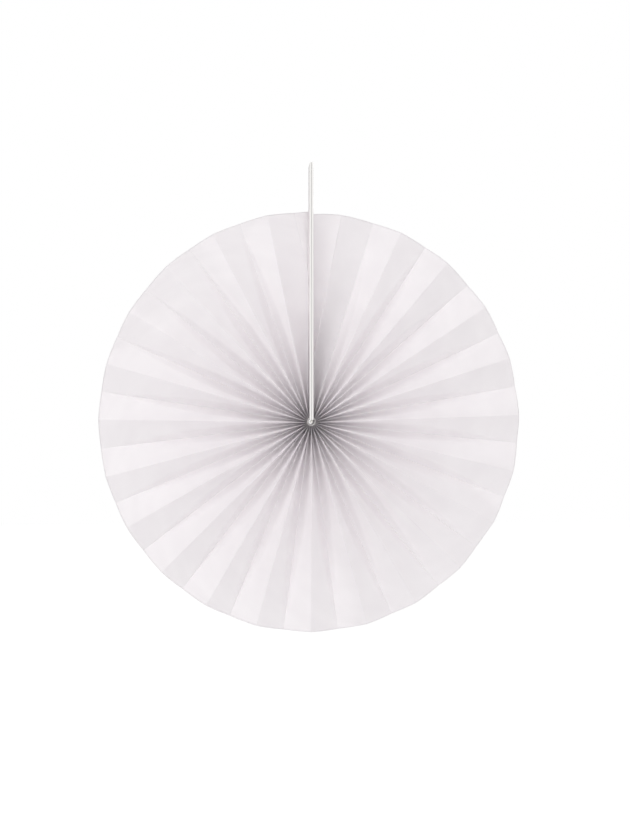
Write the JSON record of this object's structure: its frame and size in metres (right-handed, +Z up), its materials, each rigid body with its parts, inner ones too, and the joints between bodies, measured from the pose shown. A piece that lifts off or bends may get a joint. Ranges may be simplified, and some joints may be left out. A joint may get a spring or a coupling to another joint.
{
  "type": "paper fan rosette",
  "caption": "Round hanging decoration of pleated white paper, opened to a full circle and held by two card strips that end in a tab with a hanging hole.",
  "frame": {"origin": "middle of the hanging hole in the card tab at twelve o'clock", "axes": "+X to the viewer's right along the hanging hole, +Y away from the viewer along the hub axis, +Z up"},
  "size_m": [0.2999, 0.0211, 0.333],
  "materials": {
    "paper": "matt, uncoated",
    "card": "matt, white, with cut edges",
    "tape": "translucent adhesive film",
    "thread": "twisted cotton"
  },
  "bodies": {
    "root": {"pleated_paper": "paper", "card_strip_left": "card", "card_strip_right": "card", "joining_tape": "tape", "binding_thread": "thread"}
  },
  "joints": []
}
